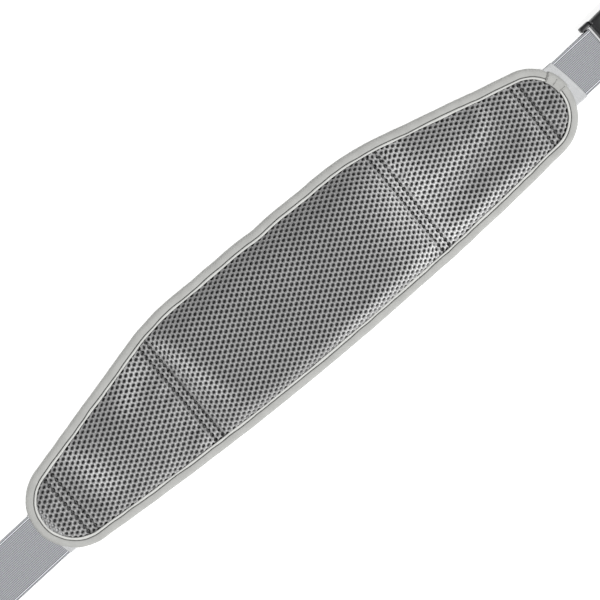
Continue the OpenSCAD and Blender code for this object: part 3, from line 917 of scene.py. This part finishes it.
channel_pitch = 3.5 * MM
hidden = 0.45 * MM  # what goes down into the cloth at each end of a stitch
row_nodes = [["left_tip_stitching"], ["left_wing_stitching", "centre_stitching"], ["right_wing_stitching"],
             ["right_tip_stitching"]]
for (name, low, high, inner, outer, channel, sections), stood_for in zip(lengths, row_nodes):
    bm = bmesh.new()
    for x in (channel - row_offset, channel + row_offset):
        spots = []
        for k in range(round(-pad_drop / channel_pitch), round(pad_rise / channel_pitch)):
            y, next_y = k * channel_pitch, (k + 1) * channel_pitch
            if inset_of(x, y) < bind_width + MM or inset_of(x, next_y) < bind_width + MM:
                continue
            at = x + 0.25 * MM * noise.noise(Vector((x, y, 0)) * 150)
            start, end = y + hidden, next_y - hidden
            spots.append((Vector((at, start, face_height(x, y) + 0.4 * MM)),
                          Vector((at, end, face_height(x, next_y) + 0.4 * MM))))
            behind = back_height(x, y) - 0.1 * MM
            spots.append((Vector((at, start, behind)), Vector((at, end, behind))))
        thread_along(bm, spots, 0.4 * MM)
    rows = finished(f"channel_stitching_{name}", bm, thread)
    side = math.copysign(fold_reach, channel)
    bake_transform(rows)
    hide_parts(*stood_for)

# ---- Binding lap -----------------------------------------------------------------
# At the right tip the binding's two ends lie one over the other, folded under
# and sewn down as a small stiff patch beside the strap.


def lap_section(point):
    """The folded-over end of the tape, lying on the binding under it."""
    wave = 0.25 * MM * noise.noise(point * 160)
    top = edge_high + 0.95 * MM + wave
    under = edge_high + 0.3 * MM
    return [(-0.35 * MM, 3.6 * MM), (-0.3 * MM, 5.0 * MM), (0.5 * MM, 6.5 * MM), (1.9 * MM, top - 0.1 * MM),
            (3.4 * MM, top), (5.3 * MM, top), (6.1 * MM, top - 0.5 * MM), (6.9 * MM, top),
            (8.2 * MM, top - 0.1 * MM), (8.7 * MM, top - 0.5 * MM), (8.4 * MM, under), (5 * MM, under),
            (2.6 * MM, under),
            (1.2 * MM, 5.9 * MM), (0.5 * MM, 4.6 * MM), (0.4 * MM, 3.6 * MM)]


lap_run = [(point, out) for point, out in edge_stations(0.8 * MM)
           if point.x > channels[3] and 1.5 * MM < point.y < 17.5 * MM]
lap_run.sort(key=lambda station: station[0].y)
bm = bmesh.new()
tape(bm, lap_run, lap_section)
bmesh.ops.holes_fill(bm, edges=[e for e in bm.edges if e.is_boundary], sides=0)
bmesh.ops.recalc_face_normals(bm, faces=bm.faces)
lap = finished("binding_lap_patch", bm, binding_cloth)
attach(lap, "right_tip")
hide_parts("binding_lap")

bm = bmesh.new()
spots = []
lap_top = edge_high + 1.05 * MM
lap_pitch = 1.15 * MM
for where in (1, len(lap_run) // 2, len(lap_run) - 2):
    point, out = lap_run[where]
    for k in range(2, 7):
        start = point + out * (edge_sway(point) - k * lap_pitch)
        start.z = lap_top
        spots.append((start, start - out * 0.85 * MM))
thread_along(bm, spots, 0.16 * MM)
lap_stitches = finished("binding_lap_stitches", bm, thread)
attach(lap_stitches, "right_tip")

# ---- Satin anchor tabs --------------------------------------------------------------
# Each strap is held by a folded white satin tab sewn in under the binding. The
# right one peeks out past the edge with a slightly curved end; the left shows
# only a corner.

satin, tree, shader = new_material("white_satin", (0.74, 0.75, 0.76), 0.32)
place = node(tree, "ShaderNodeTexCoord").outputs["UV"]
folds = node(tree, "ShaderNodeTexWave", {"bands_direction": "X"}, Vector=place, Scale=0.9, Distortion=2.0,
             Detail=2.0).outputs["Fac"]
tree.links.new(between(tree, folds, (0.42, 0.43, 0.44), (0.66, 0.665, 0.67)), shader.inputs["Base Color"])
relief(tree, shader, folds, 0.35, 0.1 * MM)
shader.inputs["Anisotropic"].default_value = 0.5
shader.inputs["Sheen Weight"].default_value = 0.3

# where each strap leaves the pad, the way it runs, and half its width
left_root = (Vector((-251 * MM, -7.5 * MM, 0)), math.radians(182.8), 20 * MM)
right_root = (Vector((257 * MM, 3.8 * MM, 0)), math.radians(2.8), 17.5 * MM)


def directions(root):
    """The ways along and across a strap."""
    turn = root[1]
    return Vector((math.cos(turn), math.sin(turn), 0)), Vector((-math.sin(turn), math.cos(turn), 0))


def on_strap(root, u, v, z):
    """A place given along a strap, across it and over the table."""
    ahead, aside = directions(root)
    return root[0] + ahead * u + aside * v + Vector((0, 0, z))


def ribbon(bm, root, path, half_wide, thick, shape, across):
    """Sweeps a flat band along a path of (u, z) points, with a woven map in millimetres.

    shape(along, v) gives its extra height on both faces at a distance along and a place across.
    """
    spots = [Vector((u, z)) for u, z in path]
    travel = [0]
    for a, b in zip(spots, spots[1:]):
        travel.append(travel[-1] + (b - a).length)
    count = 2 * (across + 1)

    def place_corner(i, j):
        before, after = spots[max(j - 1, 0)], spots[min(j + 1, len(spots) - 1)]
        ahead = (after - before).normalized()
        face = Vector((-ahead.y, ahead.x))
        i = i % count
        side, k = (1, i) if i <= across else (-1, count - 1 - i)
        v = half_wide * (2 * k / across - 1)
        rim = 0.35 if k in (0, across) else 1
        at = spots[j] + face * side * (thick / 2 * rim + shape(travel[j], v))
        return on_strap(root, at.x, v, at.y)

    made = surface(bm, count, len(spots) - 1, place_corner)
    weave = bm.loops.layers.uv.verify()
    ahead, aside = directions(root)
    rows = {v: travel[index // (count + 1)] for index, v in enumerate(made)}
    for f in {f for v in made for f in v.link_faces}:
        for loop in f.loops:
            v = (loop.vert.co - root[0]).dot(aside)
            loop[weave].uv = (rows[loop.vert] / MM, (half_wide - abs(v)) / MM)
    bmesh.ops.remove_doubles(bm, verts=made, dist=0.001 * MM)
    bmesh.ops.holes_fill(bm, edges=[e for e in bm.edges if e.is_boundary], sides=0)
    bmesh.ops.recalc_face_normals(bm, faces=bm.faces)


def tab_path(first, last):
    """Down one face of the strap, round inside the pad and out under the other face."""
    top = [(last - k * (last - first) / 12, 5.0 * MM - 0.12 * MM * math.sin(k)) for k in range(13)]
    under = [(first + k * (last - first) / 12, 2.75 * MM) for k in range(13)]
    return top + [(first - 1.1 * MM, 3.9 * MM)] + under


for name, root, first, last, body, stood_for in (
        ("left", left_root, -15 * MM, -7 * MM, "left_tip", "left_anchor_tab"),
        ("right", right_root, -15 * MM, -4.2 * MM, "right_tip", "right_anchor_tab")):
    bm = bmesh.new()
    half_wide = root[2] + 0.6 * MM
    ribbon(bm, root, tab_path(first, last), half_wide, 0.35 * MM,
           lambda along, v: 0.12 * MM * noise.noise(Vector((along * 90, v * 260, 0))), across=36)
    ahead = directions(root)[0]
    for v in bm.verts:
        u = (v.co - root[0]).dot(ahead)
        aslant = (v.co - root[0]).cross(ahead).z / half_wide
        by_end = max(0, 1 - (last - u) / (8 * MM))
        v.co += ahead * MM * by_end * (2.2 * aslant - 0.9 * aslant ** 2)
    tab = finished(f"satin_tab_{name}", bm, satin)
    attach(tab, body)
    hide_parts(stood_for)

# ---- Straps --------------------------------------------------------------------------
# Both straps are light grey woven elastic with fine ribs along their length and
# a pale line near each border, with painted shade for a groove on either side of it.

webbing, tree, shader = new_material("grey_webbing", (0.38, 0.39, 0.41), 0.72)
place = node(tree, "ShaderNodeUVMap").outputs["UV"]
parts = node(tree, "ShaderNodeSeparateXYZ", Vector=place)
rib_tone = ranged(tree, combined(tree, "PINGPONG", parts.outputs["Y"], 0.625), 0.1, 0.45)
picks = combined(tree, "PINGPONG", parts.outputs["X"], 0.35)
weave_noise = node(tree, "ShaderNodeTexNoise", Vector=place, Scale=3.0, Detail=3.0)
speckled = node(tree, "ShaderNodeMix", {"data_type": "RGBA", "blend_type": "OVERLAY"}, Factor=0.35)
tree.links.new(between(tree, rib_tone, (0.19, 0.197, 0.213), (0.40, 0.408, 0.43)), speckled.inputs[6])
tree.links.new(weave_noise.outputs["Color"], speckled.inputs[7])
# The pale band is the strap's own line; the dark bands either side of it are painted shade of grooves.
border_lines_and_groove_shade = node(tree, "ShaderNodeValToRGB", Fac=ranged(tree, parts.outputs["Y"], 0.0, 5.0))
ramp = border_lines_and_groove_shade.color_ramp
ramp.interpolation = "CONSTANT"
ramp.elements[0].color = (1, 1, 1, 1)
ramp.elements[1].position = 0.20
ramp.elements[1].color = (0.4, 0.4, 0.41, 1)
for at, shade in ((0.28, 1.9), (0.43, 0.4), (0.53, 1.0)):
    ramp.elements.new(at).color = (shade, shade, shade, 1)
bordered = node(tree, "ShaderNodeMix", {"data_type": "RGBA", "blend_type": "MULTIPLY"}, Factor=1.0)
tree.links.new(speckled.outputs[2], bordered.inputs[6])
tree.links.new(border_lines_and_groove_shade.outputs["Color"], bordered.inputs[7])
tree.links.new(bordered.outputs[2], shader.inputs["Base Color"])
relief(tree, shader, combined(tree, "ADD", rib_tone, picks), 0.7, 0.15 * MM)
shader.inputs["Sheen Weight"].default_value = 0.2

strap_thick = 1.4 * MM
strap_mid = 3.9 * MM
tail_mid = 5.4 * MM
rib_pitch = 1.25 * MM


def ribs(along, v):
    """The woven ribs, which run along the strap."""
    return -0.05 * MM * math.cos(2 * math.pi * v / rib_pitch)


def straight(start, end, start_high, end_high, step=3 * MM):
    """Points on a straight stretch in the strap's side view."""
    count = max(1, round(abs(end - start) / step))
    return [(start + (end - start) * k / count, start_high + (end_high - start_high) * k / count)
            for k in range(count + 1)]


def turn_round(u, z, radius, start, end, count):
    """Points on an arc in the strap's side view, angles in degrees."""
    turns = [math.radians(start + (end - start) * k / count) for k in range(count + 1)]
    return [(u + radius * math.cos(turn), z + radius * math.sin(turn)) for turn in turns]


def strap_length(name, root, path, *stood_for):
    """One length of a strap, standing for its CAD nodes."""
    bm = bmesh.new()
    ribbon(bm, root, path, root[2], strap_thick - 0.1 * MM, ribs, across=round(8 * root[2] / rib_pitch))
    length = finished(name, bm, webbing)
    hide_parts(*stood_for)
    return length


# distances along the long strap from where it leaves the pad
plug_u = 290 * MM
plug_z = 6.6 * MM
near_end = 55 * MM
run_from = 150 * MM
run_to = plug_u - 5 * MM
sewn_in = -14 * MM
near = strap_length("strap_left_near", left_root, straight(sewn_in, near_end, strap_mid, strap_mid),
                    "left_strap_root", "left_strap_inner")
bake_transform(near)
bend = strap_length("strap_left_middle", left_root, straight(near_end, run_from, strap_mid, strap_mid),
                    "left_strap_outer")
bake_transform(bend)
run = strap_length("strap_left_run", left_root, straight(run_from, run_to, strap_mid, strap_mid),
                   "left_strap_run")
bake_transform(run)
wrap = strap_length("strap_left_wrap", left_root,
                    [(run_to, strap_mid), (plug_u - 2.5 * MM, strap_mid)]
                    + turn_round(plug_u, plug_z, 2.7 * MM, -90, 150, 16)
                    + [(plug_u - 3.3 * MM, 6.5 * MM), (plug_u - 4.3 * MM, 5.6 * MM),
                       (plug_u - 6 * MM, tail_mid)],
                    "strap_wrap")
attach(wrap, "adjusting_plug")
tail = strap_length("strap_left_tail", left_root,
                    straight(plug_u - 6 * MM, plug_u - 60 * MM, tail_mid, tail_mid)
                    + turn_round(plug_u - 60 * MM, tail_mid + 0.7 * MM, 0.7 * MM, 270, 90, 6)[1:]
                    + straight(plug_u - 58.5 * MM, plug_u - 48.5 * MM, 6.8 * MM, 6.8 * MM),
                    "strap_tail", "tail_hem")
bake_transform(tail)

loop_u = 27 * MM
loop_z = 3.2 * MM
loop_radius = 2.4 * MM
leg_tilt = 8.3
right_path = (straight(sewn_in, 15.5 * MM, strap_mid, strap_mid)
              + straight(18 * MM, 25 * MM, 4.25 * MM, 5.3 * MM)
              + turn_round(loop_u, loop_z, loop_radius, 90 + leg_tilt, -90 - leg_tilt, 16)
              + straight(25 * MM, 18 * MM, 1.1 * MM, 2.15 * MM)
              + straight(15.5 * MM, 6 * MM, 2.45 * MM, 2.45 * MM))
right_webbing = strap_length("strap_right", right_root, right_path, "right_strap_root", "right_strap_loop")
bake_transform(right_webbing)

stitch_pitch = 1.25 * MM


def stitch_row(root, u, z, half_count):
    """A row of short stitches across a strap."""
    starts = [k * stitch_pitch + 0.15 * MM for k in range(-half_count, half_count)]
    return [(on_strap(root, u, v, z), on_strap(root, u, v + 0.9 * MM, z)) for v in starts]


bm = bmesh.new()
for u in (9.5 * MM, 13.5 * MM):
    thread_along(bm, stitch_row(right_root, u, 1.72 * MM, 13), 0.2 * MM)
loop_stitches = finished("strap_right_stitches", bm, thread)
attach(loop_stitches, "right_strap")

bm = bmesh.new()
for u in (plug_u - 56 * MM, plug_u - 51 * MM):
    for z in (7.5 * MM, 4.9 * MM):
        thread_along(bm, stitch_row(left_root, u, z, 15), 0.2 * MM)
hem_stitches = finished("strap_hem_stitches", bm, thread)
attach(hem_stitches, "tail_end")

# ---- Elastic keeper ---------------------------------------------------------------------
# A narrow loop of ribbed elastic holds the strap's tail against the strap and
# slides along it.

elastic, tree, shader = new_material("keeper_elastic", (0.36, 0.365, 0.38), 0.8)
place = node(tree, "ShaderNodeUVMap").outputs["UV"]
parts = node(tree, "ShaderNodeSeparateXYZ", Vector=place)
cord_line = combined(tree, "PINGPONG", parts.outputs["Y"], 0.6)
knots = node(tree, "ShaderNodeTexNoise", Vector=place, Scale=2.5, Detail=2.0).outputs["Fac"]
tree.links.new(between(tree, cord_line, (0.20, 0.205, 0.22), (0.50, 0.51, 0.53)), shader.inputs["Base Color"])
relief(tree, shader, combined(tree, "ADD", cord_line, knots), 0.6, 0.2 * MM)

keeper_from = plug_u - 38 * MM
keeper_to = plug_u - 23 * MM
keeper_half = left_root[2] + 0.75 * MM
keeper_low, keeper_top = 2.65 * MM, 6.65 * MM
corner = 1.1 * MM


def round_box(half_wide, low, high, radius, steps=5):
    """A rounded rectangle across a strap, as (v, z) points."""
    found = []
    out_v, low_z, high_z = half_wide - radius, low + radius, high - radius
    for at_v, at_z, start in (
            (out_v, high_z, 0), (-out_v, high_z, 90), (-out_v, low_z, 180), (out_v, low_z, 270)):
        for k in range(steps + 1):
            turn = math.radians(start + 90 * k / steps)
            found.append((at_v + radius * math.cos(turn), at_z + radius * math.sin(turn)))
    return found


def tube(bm, root, stations):
    """Joins rings of (v, z) points along a strap, and the last ring to the first, for a closed shell."""
    count = len(stations[0][1])
    made = surface(bm, count, len(stations), lambda i, j: on_strap(
        root, stations[j % len(stations)][0], *stations[j % len(stations)][1][i % count]))
    weave = bm.loops.layers.uv.verify()
    ahead, aside = directions(root)
    for f in {f for v in made for f in v.link_faces}:
        for loop in f.loops:
            spot = loop.vert.co - root[0]
            loop[weave].uv = (spot.dot(aside) / MM, spot.dot(ahead) / MM)
    bmesh.ops.remove_doubles(bm, verts=made, dist=0.001 * MM)
    bmesh.ops.recalc_face_normals(bm, faces=bm.faces)


def keeper_ring(grow):
    """The loop cut across, a little larger or smaller than its middle."""
    return round_box(keeper_half + grow, keeper_low - grow, keeper_top + grow, corner + grow)


bm = bmesh.new()
stations = []
keeper_steps = 24
for k in range(keeper_steps + 1):
    bulge = 0.15 * MM if k in (0, keeper_steps) else 0.42 * MM if k % 2 else 0.3 * MM
    stations.append((keeper_from + (keeper_to - keeper_from) * k / keeper_steps, keeper_ring(bulge)))
stations += [(u, keeper_ring(-0.4 * MM)) for u, _ in reversed(stations)]
tube(bm, left_root, stations)
keeper = finished("keeper_loop", bm, elastic)
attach(keeper, "keeper")
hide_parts("elastic_keeper")

# ---- Buckle ------------------------------------------------------------------------------
# A black moulded side-release buckle: the plug carries the strap round its
# middle bar, with a guide tongue between two springy prongs, and the socket is
# a flat shell with a window at each side where the prongs catch.

plastic, tree, shader = new_material("black_plastic", (0.012, 0.012, 0.013), 0.38)
place = node(tree, "ShaderNodeTexCoord").outputs["Object"]
grain = node(tree, "ShaderNodeTexNoise", Vector=place, Scale=2400.0, Detail=2.0).outputs["Fac"]
marks = node(tree, "ShaderNodeTexNoise", Vector=place, Scale=130.0, Detail=4.0, Roughness=0.65).outputs["Fac"]
relief(tree, shader, grain, 0.25, 0.05 * MM)
tree.links.new(ranged(tree, marks, 0.35, 0.7, 0.30, 0.50), shader.inputs["Roughness"])
black = between(tree, marks, (0.008, 0.008, 0.009), (0.022, 0.022, 0.023))
tree.links.new(black, shader.inputs["Base Color"])


def plate(bm, root, at, outline, low, high, rounding):
    """A flat moulding: an outline of (u, v) points drawn up from low to high, its rims rounded."""
    ring = bmesh.ops.create_circle(bm, cap_ends=True, segments=len(outline), radius=1)["verts"]
    ring.sort(key=lambda v: math.atan2(v.co.y, v.co.x) % (2 * math.pi))
    for v, (u, across) in zip(ring, outline):
        v.co = on_strap(root, at + u, across, low)
    face = ring[0].link_faces[0]
    top = bmesh.ops.extrude_face_region(bm, geom=[face])["geom"]
    raised = [g for g in top if isinstance(g, bmesh.types.BMVert)]
    bmesh.ops.translate(bm, verts=raised, vec=(0, 0, high - low))
    whole = {f for v in ring + raised for f in v.link_faces}
    bmesh.ops.recalc_face_normals(bm, faces=list(whole))
    rims = [e for e in {e for f in whole for e in f.edges} if e.calc_face_angle(0) > math.radians(50)]
    bmesh.ops.bevel(bm, geom=rims, offset=rounding, segments=3, profile=0.5, affect="EDGES", material=-1)


def block_outline(u_low, u_high, v_one, v_other):
    """A block's outline seen from above."""
    v_low, v_high = sorted((v_one, v_other))
    return [(u_high, v_low), (u_high, v_high), (u_low, v_high), (u_low, v_low)]


def bar(bm, root, u, z, radius, length):
    """A round bar across a strap."""
    turned = Matrix.Rotation(root[1], 4, "Z") @ Matrix.Rotation(math.pi / 2, 4, "X")
    bmesh.ops.create_cone(bm, cap_ends=True, segments=24, radius1=radius, radius2=radius, depth=length,
                          matrix=Matrix.Translation(on_strap(root, u, 0, z)) @ turned)


bm = bmesh.new()
for side in (-1, 1):
    rail = block_outline(-14.5 * MM, 10 * MM, side * 20.6 * MM, side * 24.5 * MM)
    plate(bm, left_root, plug_u, rail, 1.1 * MM, 9.4 * MM, 1.1 * MM)
    for k in range(5):
        grip = block_outline((-9 + 3 * k) * MM, (-7.8 + 3 * k) * MM, side * 24.1 * MM, side * 24.95 * MM)
        plate(bm, left_root, plug_u, grip, 2.8 * MM, 7.8 * MM, 0.3 * MM)
back_bar = block_outline(-14.5 * MM, -9.5 * MM, -21 * MM, 21 * MM)
plate(bm, left_root, plug_u, back_bar, 6.3 * MM, 9.4 * MM, 0.9 * MM)
front_bar = block_outline(5.8 * MM, 12.2 * MM, -21 * MM, 21 * MM)
plate(bm, left_root, plug_u, front_bar, 2.4 * MM, 9.4 * MM, 1.1 * MM)
tongue = [(11 * MM, -3 * MM), (33 * MM, -2.6 * MM)]
tongue += [((33 + 3.6 * math.cos(math.radians(a))) * MM, 2.6 * math.sin(math.radians(a)) * MM)
           for a in range(-60, 61, 20)]
tongue += [(33 * MM, 2.6 * MM), (11 * MM, 3 * MM)]
plate(bm, left_root, plug_u, tongue, 3.7 * MM, 8.3 * MM, 0.6 * MM)
bar(bm, left_root, plug_u, plug_z, 1.85 * MM, 42 * MM)
plug = finished("buckle_plug", bm, plastic, crease=35)
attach(plug, "adjusting_plug")
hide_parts("plug_frame")

prong_shape = [
    # along and across from the middle of the plug, in millimetres
    (10.6, 12.4), (13.0, 11.9), (24.0, 13.2), (33.0, 14.4), (39.5, 12.6), (42.2, 13.6), (43.0, 15.4),
    (40.5, 18.2), (34.5, 20.2), (30.2, 20.4), (29.4, 17.8), (26.0, 16.6), (13.6, 15.6), (10.8, 15.6),
]
for name, side, body in (("upper", 1, "plug_prong_upper"), ("lower", -1, "plug_prong_lower")):
    outline = [(u * MM, side * v * MM) for u, v in prong_shape]
    bm = bmesh.new()
    plate(bm, left_root, plug_u, outline, 3.7 * MM, 8.3 * MM, 0.55 * MM)
    for k in range(3):
        rib = block_outline((32.2 + 2.1 * k) * MM, (33.1 + 2.1 * k) * MM,
                            side * (18.6 - 0.6 * k) * MM, side * (20.5 - 0.8 * k) * MM)
        plate(bm, left_root, plug_u, rib, 4.4 * MM, 7.6 * MM, 0.25 * MM)
    prong = finished(f"buckle_prong_{name}", bm, plastic, crease=35)
    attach(prong, body)
    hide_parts(f"{name}_prong")

socket_start = loop_u + 5.1 * MM
socket_end = loop_u + 44.1 * MM
cavity_start = loop_u + 11.1 * MM
window_from = loop_u + 21.1 * MM
window_to = loop_u + 35.1 * MM


def socket_ring(grow, u):
    """The shell's outside: fuller in the middle of its length, drawn in at both ends."""
    share = (u - socket_start) / (socket_end - socket_start)
    waist = 0.7 * MM * (2 * share - 1) ** 2
    return round_box(22 * MM + grow - waist, 0.2 * MM, 9.8 * MM + grow - 0.5 * waist, 3.0 * MM)


bm = bmesh.new()
steps = [socket_start, socket_start + 0.35 * MM, socket_start + 1.2 * MM, cavity_start,
         window_from - 2 * MM, window_from, window_from + 4.7 * MM, window_to - 4.7 * MM, window_to,
         window_to + 3 * MM, socket_end - 1.2 * MM, socket_end - 0.35 * MM, socket_end]
outside = []
for k, u in enumerate(steps):
    grow = {0: -1.2 * MM, 1: -0.5 * MM, len(steps) - 1: -0.9 * MM, len(steps) - 2: -0.35 * MM}.get(k, 0)
    outside.append((u, socket_ring(grow, u)))
cavity = round_box(17.5 * MM, 2.2 * MM, 8.2 * MM, 1.2 * MM)
walls = outside + [(u, cavity) for u in reversed(steps) if u >= cavity_start]
count = len(cavity)
made = surface(bm, count, len(walls) - 1, lambda i, j: on_strap(
    right_root, walls[j][0], *walls[j][1][i % count]))
bmesh.ops.remove_doubles(bm, verts=made, dist=0.001 * MM)
ahead, aside = directions(right_root)
window_faces = {-1: [], 1: []}
for f in bm.faces:
    middle = f.calc_center_median() - right_root[0]
    u, v = middle.dot(ahead), middle.dot(aside)
    if window_from < u < window_to and abs(v) > 17.3 * MM and 2.9 * MM < middle.z < 7.4 * MM:
        window_faces[1 if v > 0 else -1].append(f)
for side in (-1, 1):
    rims = {e for f in window_faces[side] for e in f.edges}
    rims = [e for e in rims if sum(f in window_faces[side] for f in e.link_faces) == 1]
    bmesh.ops.delete(bm, geom=window_faces[side], context="FACES")
    bmesh.ops.bridge_loops(bm, edges=rims)
bmesh.ops.holes_fill(bm, edges=[e for e in bm.edges if e.is_boundary], sides=0)
bmesh.ops.recalc_face_normals(bm, faces=bm.faces)
for side in (-1, 1):
    cheek = block_outline(-3 * MM, 6.1 * MM, side * 18.1 * MM, side * 22 * MM)
    plate(bm, right_root, loop_u, cheek, 0.3 * MM, 6.2 * MM, 0.9 * MM)
bar(bm, right_root, loop_u, loop_z, 1.55 * MM, 37 * MM)
for k in range(4):
    ridge = block_outline((30 + 2.4 * k) * MM, (31.2 + 2.4 * k) * MM, -9 * MM, 9 * MM)
    plate(bm, right_root, loop_u, ridge, 9.3 * MM, 10.05 * MM, 0.25 * MM)
socket = finished("buckle_socket_shell", bm, plastic, crease=35)
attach(socket, "socket")
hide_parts("buckle_socket")

# ---- Table ------------------------------------------------------------------------
# The brace lies on a pale, even table top. It is scenery, so no body of the
# object carries it.

bm = bmesh.new()
bmesh.ops.create_grid(bm, x_segments=1, y_segments=1, size=4)
bmesh.ops.translate(bm, verts=bm.verts, vec=(0, 0, -0.2 * MM))
table_top, tree, shader = new_material("pale_table", (0.9, 0.9, 0.9), 0.9)
shader.inputs["Emission Color"].default_value = (1, 1, 1, 1)
shader.inputs["Emission Strength"].default_value = 0.62
table = finished("table", bm, table_top)
